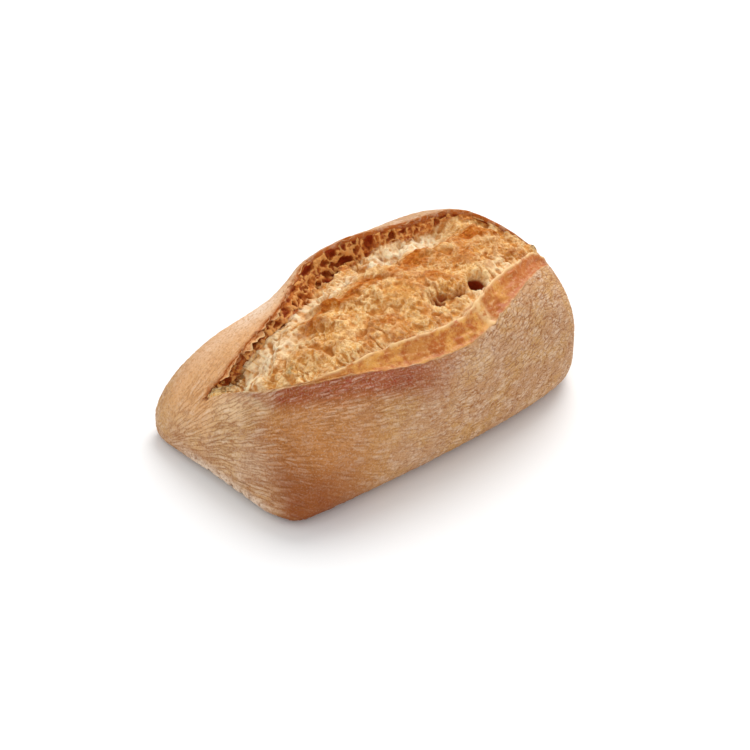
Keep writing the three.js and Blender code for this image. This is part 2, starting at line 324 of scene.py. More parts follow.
def plain_point(x, degrees):
    """Plain loaf: superellipse sections, squarer below than above, tilted and drawn to its ends."""
    top, under, near, far = envelope(x)
    s, c = np.sin(np.radians(degrees)), np.cos(np.radians(degrees))
    u = np.abs(x) / HALF_LENGTH
    square = np.where(c > 0, BASE_SQUARE, TOP_SQUARE + (TOP_SQUARE_END - TOP_SQUARE) * u**3)
    r = (np.abs(s) ** square + np.abs(c) ** square) ** (-1 / square)
    y = -np.where(s > 0, near, far) * s * r
    z = under + (top - under) / 2 * (1 - c * r)
    side = y / SIDE_REACH
    wedge = ramp(TIP_ZONE - HALF_LENGTH, -HALF_LENGTH, x)
    blunt = ramp(HALF_LENGTH - TIP_ZONE, HALF_LENGTH, x)
    z = under + (z - under) * (1 - SHOULDER_TILT * ramp(TILT_FROM, -HALF_LENGTH, x) * side)
    z = z - TIP_DROOP * under * np.minimum(side * side, 1.3) - BASE_TRIM
    inward = 1 - np.minimum(side * side, 1.2)
    along = x + (WEDGE_TIP * wedge - BLUNT_TIP * blunt) * inward + END_SLANT * y * (wedge + blunt)
    return np.stack([along, y, np.maximum(z, 0)], -1)


def tear(x):
    """Degrees round the section of the skin edge, the crumb's near edge and the far lip."""
    skin = curve_through(SKIN_EDGE, x)
    jag = LIP_JAG * plateau(TEAR_FROM, TEAR_TO - 8, TEAR_SOFT, x) * (2 * noise(x / 4.4, 0.5, 3) - 1)
    lip = np.maximum(curve_through(FAR_LIP, x) + jag, skin + 5)
    band = 1 + BAND_WIDTH * ramp(-44, -6, x) * (1 - 0.25 * ramp(24, 50, x)) * (1 - ramp(50, 60, x))
    return skin, skin + np.minimum(band, 0.4 * (lip - skin)), lip


def ragged_tear(x, sizes):
    """The tear's edges with their fine raggedness: short noise on the lip, shorter on the band's rim."""
    skin, edge, lip = tear(x)
    open_ = plateau(TEAR_FROM, TEAR_TO - 2, TEAR_SOFT, x)
    torn = 1 - 0.6 * ramp(-26, -12, x)
    lip = lip + sizes.lip_rag * torn * open_ * (2 * layered(x / 2.4, 0.5 + 0 * x, 21, 2) - 1)
    edge = edge + 0.9 * open_ * (2 * layered(x / 4, 9.5 + 0 * x, 25, 3) - 1)
    skin = skin + 0.7 * open_ * (2 * layered(x / 3.4, 4.5 + 0 * x, 23, 2) - 1)
    edge = np.maximum(edge, skin + 0.7)
    return skin, edge, np.maximum(lip, edge + 4)


def lip_holes():
    """Holes at the foot of the far lip, one every pitch, with drawn place, size and depth. They are
    deepest and widest where the gully is."""
    k = np.arange(round((LIP_HOLES_TO - LIP_HOLES_FROM) / LIP_HOLE_PITCH) + 1.0)
    x = LIP_HOLES_FROM + LIP_HOLE_PITCH * (k + 0.6 * (draw(k, 1, 5) - 0.5))
    middle = plateau(GULLY_FROM, GULLY_TO, GULLY_SOFT, x)
    size = LIP_HOLE_SIZE * (0.5 + 0.4 * draw(k, 2, 5) + 0.4 * middle)
    angle = tear(x)[2] - 3 - (1 + 4 * draw(k, 3, 5)) * (0.5 + middle)
    depth = LIP_HOLE_DEPTH * (0.6 + 0.7 * draw(k, 4, 5)) * (0.3 + 0.7 * middle)
    return list(zip(x, angle, size, size * 1.3, depth))


def crag(x, s):
    """Large crags, about -1 to 1: folded noise, bent by another noise and turned off the axes."""
    u = (x * math.cos(CRAG_TURN) + s * math.sin(CRAG_TURN)) / CRAG_SIZE
    v = (s * math.cos(CRAG_TURN) - x * math.sin(CRAG_TURN)) / CRAG_SIZE
    bend = 0.8 * (noise(0.7 * u, 0.7 * v, 4) - 0.5)
    return 0.8 - 2 * np.abs(2 * noise(u + bend, v - bend, 2) - 1)


def crest_line(x):
    """Degrees round the section of the crumb's crest: a level line that wanders by smooth noise."""
    return CREST_ANGLE + CREST_WANDER * (2 * noise(x / CREST_SPAN, 0.5 + 0 * x, 7) - 1)


def relief(x, degrees, edges):
    """Main forms on the plain loaf: standing lip, gully, band step, crest, crags and holes.
    Returns how far out, how far towards the far side, and how deep the holes are."""
    skin, edge, lip = edges
    gap = lip - degrees
    inside = gap > 0
    open_ = plateau(TEAR_FROM, TEAR_TO, TEAR_SOFT, x)
    middle = plateau(GULLY_FROM, GULLY_TO, GULLY_SOFT, x)
    gully = GULLY_DEPTH * plateau(-55, 41, 3, x) + GULLY_MIDDLE * middle
    width = GULLY_WIDTH + GULLY_WIDTH_MIDDLE * middle
    hump = curve_through(LIP_STAND, x)
    s = degrees * MM_PER_DEGREE
    out = SWELL_HEIGHT * (2 * noise(x / SWELL_SIZE, s / SWELL_SIZE, 1) - 1) * ramp(62, 40, np.abs(x))
    out = out - FAR_DENT * blob(x, degrees, [(DENT_X, DENT_ANGLE, DENT_SPAN, DENT_FAN, 1.0)])
    out = out + hump * np.where(inside, 1 - ramp(0, 3, gap), 1 - ramp(0, LIP_BACK, -gap))
    wall = CLIFF_SHARE * ramp(0, CLIFF_WIDTH, gap) + (1 - CLIFF_SHARE) * ramp(1.5, width, gap)
    torn = -gully * wall * (1 - ramp(width + 1, width + 15, gap))
    torn = torn - BAND_STEP * open_ * ramp(0, 1.2, degrees - edge)
    torn = torn + np.where(edge - skin > 2, BAND_BEAD * open_ * plateau(-3, 1, 1.5, degrees - edge), 0)
    crest = crest_line(x)
    drop = ramp(-3, 3, degrees - crest) * (1 - ramp(crest + 8, crest + 22, degrees))
    torn = torn - CREST_DROP * plateau(CREST_FROM, CREST_TO, 6, x) * drop
    torn = torn + CRAG_HEIGHT * open_ * crag(x, s) * ramp(1, 8, degrees - edge) * ramp(3, 12, gap)
    holes = 0 * x
    for hx, hd, half_length, half_width, depth in (DEEP_HOLE, POCKET, POCKET_NECK, CURL_POCKET, *lip_holes()):
        rho = ((x - hx) / half_length) ** 2 + ((degrees - hd) / half_width) ** 2
        holes = holes + depth * np.clip(1 - rho, 0, 1) ** 1.5
    out = out + np.where(inside, torn - holes, 0)
    lean = np.where(inside, LIP_OVERHANG * gully * plateau(3, 7, 2.5, gap) / (GULLY_DEPTH + GULLY_MIDDLE), 0)
    return out, lean, np.where(inside, holes, 0)


def unit(v):
    """Vectors scaled to length 1; a zero vector stays zero."""
    return v / np.maximum(np.linalg.norm(v, axis=-1, keepdims=True), 1e-12)


def grid_normals(points, closed=True):
    """Outward normals of a grid of rows along the loaf and columns round it: cross product of the
    step to the next row and the step to the next column."""
    along = np.gradient(points, axis=0)
    round_ = np.roll(points, -1, 1) - np.roll(points, 1, 1) if closed else np.gradient(points, axis=1)
    return unit(np.cross(along, round_))


def stations(low, high, count):
    """Stations from low to high, evenly spaced along the loaf's outline."""
    fine = -HALF_LENGTH * np.cos(np.linspace(0, math.pi, 8001))
    top, _, near, far = envelope(fine)
    step = np.sqrt(np.diff(fine) ** 2 + np.diff(top) ** 2 + (0.35 * np.diff(near + far)) ** 2)
    run = np.concatenate([[0], np.cumsum(step)])
    start, end = np.interp([low, high], fine, run)
    return np.interp(np.linspace(start, end, count), run, fine)[:, None]


def main_surface(x, degrees, edges):
    """Plain loaf moved out along its own normal by the main relief, and leaned under the lip."""
    p = plain_point(x, degrees)
    ahead, behind = np.minimum(x + 0.3, HALF_LENGTH), np.maximum(x - 0.3, -HALF_LENGTH)
    along = plain_point(ahead, degrees) - plain_point(behind, degrees)
    round_ = plain_point(x, degrees + 0.5) - plain_point(x, degrees - 0.5)
    out, lean, holes = relief(x, degrees, edges)
    shown = ramp(60, 80, degrees) * ramp(300, 280, degrees)
    p = p + unit(np.cross(along, round_)) * (out * shown)[..., None] + unit(round_) * lean[..., None]
    p[..., 2] = np.maximum(p[..., 2], 0)
    return p, holes


def crowded(count, crowd):
    """Shares from 0 to 1 in count steps: even, or crowded at both ends as far as crowd says."""
    share = np.linspace(0, 1, count + 1)
    return share - crowd * np.sin(2 * math.pi * share) / (2 * math.pi)


def crust_grid(sizes):
    """Station and angle of every point of the crust, with columns pinned to the tear's edges."""
    x = stations(-HALF_LENGTH, HALF_LENGTH, sizes.rows)
    skin, edge, lip = ragged_tear(x, sizes)
    corner, rise, fall = 28 + 0 * x, 60 + 0 * x, 300 + 0 * x
    spans = (
        (0 * x, corner, 3, 0), (corner, rise, 9, 0), (rise, skin, sizes.near_columns, 0), (skin, edge, 20, 0),
        (edge, lip, 18, 0.95), (lip, fall, sizes.far_columns, 0), (fall, 360 - corner, 9, 0),
        (360 - corner, 360 + 0 * x, 3, 0),
    )
    columns = [low + (high - low) * crowded(count, crowd)[:-1] for low, high, count, crowd in spans]
    degrees = np.concatenate(columns, 1)
    return x + 0 * degrees, degrees, (skin, edge, lip)


def soften(grid, reach):
    """Grid averaged over reach points to each side, first along its rows, then along its columns."""
    for axis in (0, 1):
        sides = [(reach, reach) if a == axis else (0, 0) for a in (0, 1)]
        total = np.cumsum(np.pad(grid, sides, mode="edge"), axis)
        total = np.concatenate([np.zeros_like(np.take(total, [0], axis)), total], axis)
        n = grid.shape[axis]
        window = 2 * reach + 1
        grid = (np.take(total, np.arange(n) + window, axis) - np.take(total, np.arange(n), axis)) / window
    return grid


def fold_crest(value, sharp):
    """Noise from 0 to 1 folded to sharp crests: 1 where it is one half, falling by sharp to each side."""
    return 1 - np.abs(2 * value - 1) * sharp


def ribs(p, sizes):
    """Ribs of the proved skin. They fan out from the wedge's far low corner, and their number doubles
    outwards: two patterns, for the even and the odd of growing rings, take turns. Returns the height
    from 0 in the grooves to 1 on the crests, the two patterns' own measures, and the share of the odd."""
    u, v = p @ np.array(FAN_RIGHT) - FAN_POINT[0], p @ np.array(FAN_UP) - FAN_POINT[1]
    out, turn = np.hypot(u, v), np.arctan2(v, u)
    level = 1.5 * np.log2(np.maximum(out, 1) / FAN_RING)
    even = 2 * np.round(level / 2)
    odd_share = ramp(0.3, 0.7, np.abs(level - even))
    bend = 1.1 * (cloud(p / 8, 31, 2) - 0.5) + 0.3 * (cloud(p / 2.6, 34, 2) - 0.5)
    shapes, measures = [], []
    for ring in (even, 2 * np.floor(level / 2) + 1):
        across = turn * FAN_RING * 2 ** (ring / 1.5) / sizes.rib_pitch + bend + 3.7 * ring
        measure = np.stack([out / sizes.rib_length + 0.5 * bend, across, 0 * out], -1)
        first, second, own = bubbles(measure, 45)
        shapes.append(ramp(0.0, 0.5, second - first) * (0.75 + 0.25 * own))
        measures.append(measure)
    height = shapes[0] * (1 - odd_share) + shapes[1] * odd_share
    return height * ramp(9, 18, out), measures, odd_share


def skin_relief(p, x, degrees, sizes):
    """Floured skin: ribs on the left half, strongest round the wedge end, over a low swell; elsewhere
    low plates. Returns the height, how high each place lies from 0 to 1, and the share of ribs."""
    y, z = p[..., 1], p[..., 2]
    rib = ribs(p, sizes)[0]
    ribbed = ramp(12, -34, x) * (0.65 + 0.35 * ramp(0.3, 0.6, cloud(p / 11, 35, 2)))
    ribbed = np.maximum(ribbed, 0.95 * ramp(-46, -56, x)) * (1 - 0.85 * ramp(4, 24, y) * ramp(-60, -42, x))
    ribbed = ribbed * (1 - 0.3 * ramp(20, 6, z) * ramp(-62, -54, x)) * ramp(30, 20, y)
    sway = np.stack([cloud(p / 3, seed, 2) for seed in (36, 39, 42)], -1) - 0.5
    first, second, own = bubbles(p / np.array([2.6, 2.6, 1.5]) + 0.8 * sway, 48)
    plate = ramp(0.0, 0.3, second - first) * (0.7 + 0.3 * own)
    height = sizes.rib_height * rib * ribbed + sizes.wrinkle_height * plate * (1 - 0.8 * ribbed)
    return height, np.clip(rib * ribbed + plate * (1 - ribbed), 0, 1), ribbed


def band_relief(p, depth_in, fold):
    """Smooth baked band: a low swell, a few blisters, a hollow between its rims, and one raised fold."""
    first, _, own = bubbles(p / 2.6, 63)
    blister = 0.3 * ramp(0.45, 0.1, first) * ramp(0.4, 0.9, own)
    hollow = ramp(0, 0.2, depth_in) * (1 - ramp(0.45, 0.95, depth_in))
    streak = 0.35 * (fold_crest(cloud(p / np.array([3.2, 1.6, 1.6]), 65, 2), 2.2) - 0.5)
    return 0.7 * (cloud(p / 5, 61, 2) - 0.5) + blister + streak - 0.7 * hollow + 0.5 * fold


def run_across(p, off):
    """Length walked along each row of a grid of points, and that length where off comes nearest to 0."""
    walk = np.linalg.norm(np.diff(p, axis=1, append=p[:, -1:]), axis=-1)
    run = np.cumsum(walk, 1) - walk
    return run, np.take_along_axis(run, np.argmin(np.abs(off), 1)[:, None], 1)


def sunk_depth(rise, gap):
    """How far the crust lies under the crumb, mm: a step inside both edges, deep in the middle."""
    return 1.6 * ramp(0.1, 1.5, rise) * ramp(0.1, 1.3, gap) + 8 * ramp(1, 12, rise) * ramp(0.3, 6, gap)


def crust_surface(sizes):
    """The crust's points and the masks that colour it: main surface, then the fine relief of skin and
    band along its normal. Inside the tear it sinks under the crumb."""
    x, degrees, edges = crust_grid(sizes)
    p, _ = main_surface(x, degrees, edges)
    skin, edge, lip = [e + 0 * x for e in edges]
    normal = grid_normals(p)
    torn = ramp(0.1, 0.7, plateau(TEAR_FROM, TEAR_TO, TEAR_SOFT, x))
    gap, rise = lip - degrees, degrees - edge
    inside = ramp(0, 0.5, rise) * ramp(0, 0.5, gap) * torn
    stray = 3.2 * (cloud(p / 3.5, 83, 3) - 0.5)
    band = ramp(-0.1, 0.3, degrees - skin + stray) * ramp(0.5, 0, rise)
    band = band * torn * ramp(1.0, 2.2, edge - skin)
    depth_in = np.clip((degrees - skin) / np.maximum(edge - skin, 0.1), 0, 1)
    from_fold = x - 20.5 + 0.16 * (degrees - 131) + 2.4 * (cloud(p / 4, 35, 3) - 0.5)
    fold = np.exp(-((from_fold / 1.1) ** 2)) * band
    skin_zone = 1 - np.clip(inside + band, 0, 1)

    # Relief: skin, band, ragged rims, the cleft and the heel's pits
    skin_h, crest, ribbed = skin_relief(p, x, degrees, sizes)
    ragged = cloud(p / 2.2, 81, 3)
    rim = np.exp(-(((degrees - edge) / 0.75) ** 2)) * torn * ramp(1.2, 3, edge - skin)
    seam = np.exp(-(((degrees - skin) / 0.5) ** 2)) * torn * ramp(-52, -46, x)
    lip_rim = np.exp(-((gap / 1.1) ** 2)) * torn
    height = skin_h * skin_zone + band * band_relief(p, depth_in, 0.55 * fold)
    height = height + 0.9 * rim * ragged + 0.5 * lip_rim * (2.6 * ragged - 1) + 0.25 * seam * ragged
    cleft = blob(x, degrees, CLEFTS)
    heel = ramp(-58, -63, x) * ramp(7.5, 4, p[..., 2]) * ramp(24, 10, p[..., 1]) * ramp(-28, -18, p[..., 1])
    first, _, own = bubbles(p / 1.7, 94)
    pitted = ramp(0.5, 0.15, first) * ramp(0.25, 0.6, own)
    height = height * (1 - 0.5 * heel) - 1.3 * cleft + heel * (0.5 - 0.8 * pitted)
    height = height * ramp(0.2, 3.5, p[..., 2]) - sunk_depth(rise, gap) * torn
    p = p + normal * height[..., None]
    p[..., 2] = np.maximum(p[..., 2], 0)

    # Masks: where the crust browned, by how far below the tear it lies and by its place on the loaf
    y, z = p[..., 1], p[..., 2]
    near = (degrees < skin) * ramp(14, 2, y)
    run, at_skin = run_across(p, skin - degrees)
    at_lip = run_across(p, gap)[1]
    below = np.where(degrees < edge, at_skin - run, run - at_lip)
    along = HALF_LENGTH * np.linspace(-1.2, 1.2, sizes.rows)[:, None] + 0 * x
    patch = cloud(p / 15, 29, 2)
    edge_bake = ramp(15, 4, below + 6 * (patch - 0.5)) * ramp(14, -16, x) * ramp(-58, -52, x) * near
    corner = ramp(-24, -52, x) * ramp(34, 6, z + 14 * (patch - 0.5)) * ramp(-65, -61, x)
    corner = corner * ramp(-14, -26, y)
    foot = 0.6 * ramp(5, 1, z) * ramp(-60, -50, x)
    golden_left = ramp(-16, -52, x) * ramp(-65, -58, x) * ramp(-6, -20, y)
    # Wedge gold: golden skin on the wedge's far side, more of it higher up; its lighter colour is partly
    # painted light
    gold = ramp(2, 12, y) * ramp(38, 26, y) * (1 - inside)
    gold = gold * ramp(-4, -30, x) * ramp(6, 22, z + 8 * (patch - 0.5))
    flour = np.clip(0.95 * heel + blob(x, degrees, FLOUR_PATCHES), 0, 1)
    fresh = np.clip(blob(x, degrees, FRESH_PATCHES) + cleft, 0, 1)
    drawn = np.maximum(ramp(26, 8, below + 8 * (patch - 0.5)), ramp(-50, -58, x))
    weave = np.stack([along / sizes.plate_length, below / sizes.plate_height, 0 * x], -1)
    weave[..., :2] += 1.3 * (np.stack([cloud(p / 5, 52, 2), cloud(p / 5, 55, 2)], -1) - 0.5)
    _, (fan_even, fan_odd), odd_share = ribs(p, sizes)
    masks = {
        "inside": inside, "band": band, "low_band": band * ramp(0.5, 0.0, depth_in) * ramp(30, 0, x),
        "fold": np.exp(-((from_fold / 1.9) ** 2)) * band, "lip": lip_rim,
        "rim": np.clip(rim * ramp(0.32, 0.52, ragged) + 0.2 * seam, 0, 1),
        "bake": np.clip(corner + 0.7 * foot, 0, 1), "red": edge_bake, "gold": gold, "flour": flour,
        "fresh": fresh, "left": golden_left, "right": ramp(24, 40, x), "pitted": pitted * heel,
        "crest": crest, "ribbed": ribbed * (0.35 + 0.65 * drawn),
        "crackle": (1 - 0.75 * ribbed) * (1 - 0.6 * gold) * skin_zone * (1 - 0.35 * ramp(-4, 20, y)),
        "weave": weave, "fan_even": fan_even, "fan_odd": fan_odd, "odd_share": odd_share,
    }
    return p, masks


def crumb_surface(sizes):
    """The crumb as one closed body: its torn top from under the band's rim to under the far lip, and
    an underside out of sight in the loaf. The top is the main surface, moved along its normal by
    folded noises of three sizes, bubbles of two sizes cut open, strands up the near slope, a
    honeycomb of holes with thin walls under the lip, and fins in the pocket."""
    x = stations(TEAR_FROM - 1, TEAR_TO + 1, sizes.crumb_rows)
    skin, edge, lip = ragged_tear(x, sizes)
    t = 1 - (1 - np.linspace(0, 1, sizes.crumb_columns)[None]) ** 1.2
    degrees = edge - CRUMB_TUCK + (lip - edge + 2 * CRUMB_TUCK) * t
    x = x + 0 * degrees
    p, holes = main_surface(x, degrees, (skin, edge, lip))
    normal = grid_normals(p, closed=False)
    gap, rise = lip - degrees, degrees - edge
    from_edge, at_lip = run_across(p, gap)
    from_lip = at_lip - from_edge
    reach = curve_through(WALL_REACH, x)
    wall = 1 - ramp(reach, reach * 1.25 + 0.8, from_lip + 3.0 * (cloud(p / 3.5, 90, 2) - 0.5))
    middle = plateau(GULLY_FROM, GULLY_TO - 6, 9, x)

    # Open crumb: folds, flakes and strands, ledges, and bubbles cut open
    warp = np.stack([cloud(p / 4, seed, 2) for seed in (41, 43, 47)], -1) - 0.5
    strand = 1 - ramp(6, 15, from_edge + 6 * (cloud(p / 9, 71, 2) - 0.5))
    cream = blob(x, degrees, CREAM_PATCHES)
    smooth = blob(x, degrees, SMOOTH_PATCHES)
    local = np.stack([x / 1.05 + 2.4 * warp[..., 0], from_edge / 5.5 + 0.8 * warp[..., 1], 0 * x], -1)
    fibre = fold_crest(cloud(local, 69, 2), 2.4)
    folded = fold_crest(cloud(p / 5.5 + warp, 61, 2), 1.5)
    flaky = fold_crest(cloud(p / 2.1 + 0.6 * warp, 64, 2), 2.2)
    rough = fold_crest(cloud(p / 1.0, 66, 2), 2.0)
    first, _, own = bubbles(p / sizes.bubble_size + 0.9 * warp, 51)
    large = ramp(0.6, 0.15, first) * ramp(0.62, 0.85, own)
    first, second, own = bubbles(p / (0.5 * sizes.bubble_size) + 1.4 * warp, 57)
    small = ramp(0.05, 0.45, second - first) * ramp(0.15, 0.6, own) * (1 - 0.5 * strand)
    ledge = ramp(0.44, 0.5, cloud(p / 10 + 0.5 * warp, 73, 3))
    calm = ramp(0.35, 0.6, cloud(p / 6, 88, 2))
    fine = 0.28 * (flaky - 0.4) * (1 - 0.5 * strand) + 0.16 * (rough - 0.4) + 0.6 * (fibre - 0.3) * strand
    body = sizes.crumb_crag * (folded - 0.4) + fine * (0.25 + 0.75 * calm) * (1 - 0.3 * cream)
    body = body + sizes.ledge_height * (ledge - 0.5) * ramp(2, 7, rise) * (1 - 0.5 * cream)
    body = body - sizes.bubble_depth * (large + 0.5 * small * calm) * (1 - 0.6 * cream)
    body = body * (1 - 0.6 * smooth) + 0.9 * smooth

    # Honeycomb under the lip, the fins in the pocket, and both edges tucked under the crust
    first, second, own = bubbles(p / np.array([6.2, 5.5, 4.8]) + 0.7 * warp, 75)
    big = ramp(0.06, 0.34, second - first) * ramp(0.3, 0.5, own) * middle
    first, second, own = bubbles(p / 3.0 + 0.9 * warp, 81)
    minor = ramp(0.05, 0.36, second - first) * ramp(0.3, 0.55, own) * (1 - big)
    pits = np.clip(big + 0.6 * minor, 0, 1)
    wall_h = 0.5 + 0.5 * (rough - 0.5) + 0.4 * (flaky - 0.5) - sizes.alveolus_depth * pits
    deep = np.clip(holes / 4.5, 0, 1)
    pocket = blob(x, degrees, [POCKET[:4] + (1,)])
    fins = fold_crest(0.5 + 0.5 * np.sin(1.3 * (x + 0.25 * degrees) + 9 * warp[..., 0]), 1.3) * pocket
    height = body * (1 - wall) * (1 - 0.7 * deep) * ramp(0, 2.4, rise) + 1.0 * fins * (1 - wall)
    height = height + wall_h * wall * ramp(0.2, 1.6, from_lip)
    foot = ramp(0.5, 3, from_lip) * ramp(11, 4, from_lip) * ramp(1, 0.1, holes)
    height = height + 1.5 * foot * ramp(-14, -26, x)
    ends = 1 - ramp(0.1, 0.7, plateau(TEAR_FROM, TEAR_TO, TEAR_SOFT, x))
    tuck = np.maximum(ramp(0.6, -CRUMB_TUCK, rise), ramp(0.6, -CRUMB_TUCK, gap))
    height = np.maximum(height, 0.4 - 0.85 * sunk_depth(rise, gap)) - 1.0 * tuck - 3.2 * ends
    top = p + normal * height[..., None]

    # Underside, out of sight in the loaf
    back = crowded(UNDERSIDE_COLUMNS, 0.93)[None, -2:0:-1]
    degrees_back = edge - CRUMB_TUCK + (lip - edge + 2 * CRUMB_TUCK) * back
    x_back = x[:, :1] + 0 * degrees_back
    low, _ = main_surface(x_back, degrees_back, (skin, edge, lip))
    drop = 1.0 + 11 * np.sin(math.pi * back) ** 0.6 * (0.1 + 0.9 * (1 - ends[:, :1]))
    low = low + grid_normals(low, closed=False) * drop[..., None]
    points = np.concatenate([top, low], 1)
    points[0], points[-1] = points[0].mean(0), points[-1].mean(0)

    # Masks: toasted ridges, hollows of two sizes, and the holes. The hollows carry painted shade in the
    # recesses and painted light on the raised places; the holes and bubbles carry painted shade
    crest = crest_line(x)
    blotch = cloud(p / 6, 86, 3)
    ridge = np.exp(-(((degrees - crest + 2) / 4.5) ** 2)) * plateau(CREST_FROM - 6, CREST_TO + 6, 6, x)
    high = ramp(0.3, 0.8, ledge) * ramp(0.1, 0.7, folded)
    toast = 0.9 * ridge * ramp(0.25, 0.45, blotch) + blob(x, degrees, TOAST_PATCHES) * ramp(0.3, 0.5, blotch)
    toast = toast + 0.55 * ramp(0.5, 0.62, blotch) * high * ramp(-46, -24, x)
    toast = np.clip(toast, 0, 1) * (1 - 0.9 * cream) * (1 - wall)
    # How far each place lies below its softened surroundings, at two widths: the colours that follow it are
    # painted shade in recesses and painted light on raised places
    hollow = np.clip(0.5 + (soften(height, 3) - height) / 0.7, 0, 1)
    broad = np.clip(0.5 + (soften(height, 9) - height) / 1.6, 0, 1)
    # Painted shade in the deep holes, the pits of the lip's wall and the pocket, which darkens all but its
    # fins
    painted_hole_shade = ramp(1.2, 3.4, holes) * (1 - 0.6 * ramp(-40, -44, x)) * (1 - 0.7 * pocket)
    masks = {
        # pore marks the cut bubbles, which are darkened with painted shade
        "toast": toast, "hollow": 0.55 * hollow + 0.45 * broad, "pore": np.clip(large + 0.5 * small, 0, 1),
        "wall": wall * ramp(-0.3, 0.4, from_lip), "smooth": smooth,
        "painted_hole_shade": np.clip(painted_hole_shade + pits * wall, 0, 1) + 0.25 * pocket * (1 - fins),
        "cream": np.clip(cream + 0.35 * ramp(4, 1, from_edge) * ramp(-48, -30, x), 0, 1),
    }
    hidden = {name: (name in ("wall", "painted_hole_shade")) + np.zeros(low.shape[:-1]) for name in masks}
    return points, {name: np.concatenate([mask, hidden[name]], 1) for name, mask in masks.items()}


def lip_flakes(sizes):
    """Thin torn flakes of crust along the far lip. Each is a small closed shell: rows along the lip,
    columns out over the gully and back below, curling up by the square of the way out, with a
    ragged free edge and pointed ends."""
    pieces = []
    for n, (at, length, reach, lift) in enumerate(LIP_FLAKES):
        x = np.linspace(at - length / 2, at + length / 2, FLAKE_ROWS)[:, None]
        skin, edge, lip = ragged_tear(x, sizes)
        root, _ = main_surface(x, lip + 1.4, (skin, edge, lip))
        ahead, _ = main_surface(x, lip + 2.4, (skin, edge, lip))
        inward = unit(root - ahead)
        along = np.gradient(root, axis=0)
        outward = unit(np.cross(inward, along))
        outward = outward * np.sign(outward[..., 2:])
        t = np.linspace(0, 1, FLAKE_COLUMNS)[None]
        side = np.linspace(-1, 1, FLAKE_ROWS)[:, None]
        ragged = 0.5 + 1.0 * layered(x / 0.9, 3.5 + 0 * x, 91 + n, 3)
        far = reach * np.clip(1 - side**4, 0, 1) ** 0.5 * ragged + 0.05
        rise = -0.3 + lift * t**2 + (0.3 + 0.2 * lift) * np.sin(4 * side + 2.3 * n) * t
        upper = root + inward * (far * t)[..., None] + outward * rise[..., None]
        thick = FLAKE_THICKNESS * (1 - 0.75 * t[:, ::-1]) * (1.02 - np.abs(side))
        lower = upper[:, ::-1] - outward * (thick + 0.02)[..., None]
        points = np.concatenate([upper, lower], 1)
        points[0], points[-1] = points[0].mean(0), points[-1].mean(0)
        tip = np.concatenate([t + 0 * side, t[:, ::-1] + 0 * side], 1)
        # under: 1 on the flake's lower face, which its material darkens as painted shade
        under = np.concatenate([0 * t + 0 * side, 1 + 0 * t + 0 * side], 1)
        pieces.append((points[:, ::-1], {"tip": tip[:, ::-1], "under": under[:, ::-1]}))
    return pieces


def mesh_from_grids(name, pieces):
    """One mesh of closed grids of rows and closed columns: each end row is one point, each square two
    triangles, split along alternating diagonals. Masks become point attributes of the same names,
    vectors where they hold three values."""
    verts, faces, values, base = [], [], {}, 0
    for points, masks in pieces:
        rows, columns, _ = points.shape
        block = np.concatenate([points[:1, 0], points[1:-1].reshape(-1, 3), points[-1:, 0]]) / 1000
        index = 1 + np.arange((rows - 2) * columns).reshape(rows - 2, columns)
        right = np.roll(index, -1, 1)
        a, b, c, d = index[:-1], index[1:], right[1:], right[:-1]
        even = (np.add.outer(np.arange(rows - 3), np.arange(columns)) % 2 == 0)[..., None]
        one = np.where(even, np.stack([a, b, c], -1), np.stack([a, b, d], -1))
        two = np.where(even, np.stack([a, c, d], -1), np.stack([b, c, d], -1))
        start = np.stack([np.zeros(columns, int), index[0], right[0]], -1)
        end = np.stack([np.full(columns, len(block) - 1), right[-1], index[-1]], -1)
        faces.append(base + np.concatenate([start, one.reshape(-1, 3), two.reshape(-1, 3), end]))
        verts.append(block)
        base += len(block)
        for key, mask in masks.items():
            inner = mask[1:-1].reshape(-1, *mask.shape[2:])
            values.setdefault(key, []).append(np.concatenate([mask[:1, 0], inner, mask[-1:, 0]]))
    verts, faces = np.concatenate(verts), np.concatenate(faces)
    if not np.isfinite(verts).all():
        raise ValueError(name + " holds a point that is not a number")
    mesh = bpy.data.meshes.new(name)
    mesh.vertices.add(len(verts))
    mesh.vertices.foreach_set("co", verts.ravel())
    mesh.loops.add(faces.size)
    mesh.loops.foreach_set("vertex_index", faces.ravel().astype(np.int32))
    mesh.polygons.add(len(faces))
    mesh.polygons.foreach_set("loop_start", np.arange(0, faces.size, 3, dtype=np.int32))
    mesh.update(calc_edges=True)
    mesh.validate()
    mesh.shade_smooth()
    for key, parts in values.items():
        column = np.concatenate(parts).astype(np.float32)
        if column.ndim > 1:
            mesh.attributes.new(key, "FLOAT_VECTOR", "POINT").data.foreach_set("vector", column.ravel())
        else:
            mesh.attributes.new(key, "FLOAT", "POINT").data.foreach_set("value", column)
    return mesh


def linear(hex_colour):
    """sRGB hex colour as linear red, green, blue and alpha 1."""
    channels = [int(hex_colour[k:k + 2], 16) / 255 for k in (1, 3, 5)]
    return tuple(c / 12.92 if c <= 0.04045 else ((c + 0.055) / 1.055) ** 2.4 for c in channels) + (1.0,)


def add(tree, kind, inputs=None, **settings):
    """Adds one node: settings are its properties, inputs its socket values or the sockets linked in."""
    node = tree.nodes.new(kind)
    for key, value in settings.items():
        setattr(node, key, value)
    for key, value in (inputs or {}).items():
        if isinstance(value, bpy.types.NodeSocket):
            tree.links.new(value, node.inputs[key])
        else:
            node.inputs[key].default_value = value
    return node


def new_material(name):
    """A material with an empty node tree, and that tree."""
    material = bpy.data.materials.new(name)
    material.use_nodes = True
    material.node_tree.nodes.clear()
    return material, material.node_tree


def noise_patterns(tree, sizes):
    """The place on the piece, and noises about 0.3 to 0.7, each with its size in mm, detail and roughness."""
    place = add(tree, "ShaderNodeTexCoord").outputs["Object"]
    patterns = {"place": place}
    for name, (size_mm, detail, roughness) in sizes.items():
        inputs = {"Vector": place, "Scale": 1000 / size_mm, "Detail": detail, "Roughness": roughness}
        patterns[name] = add(tree, "ShaderNodeTexNoise", inputs).outputs["Fac"]
    return patterns


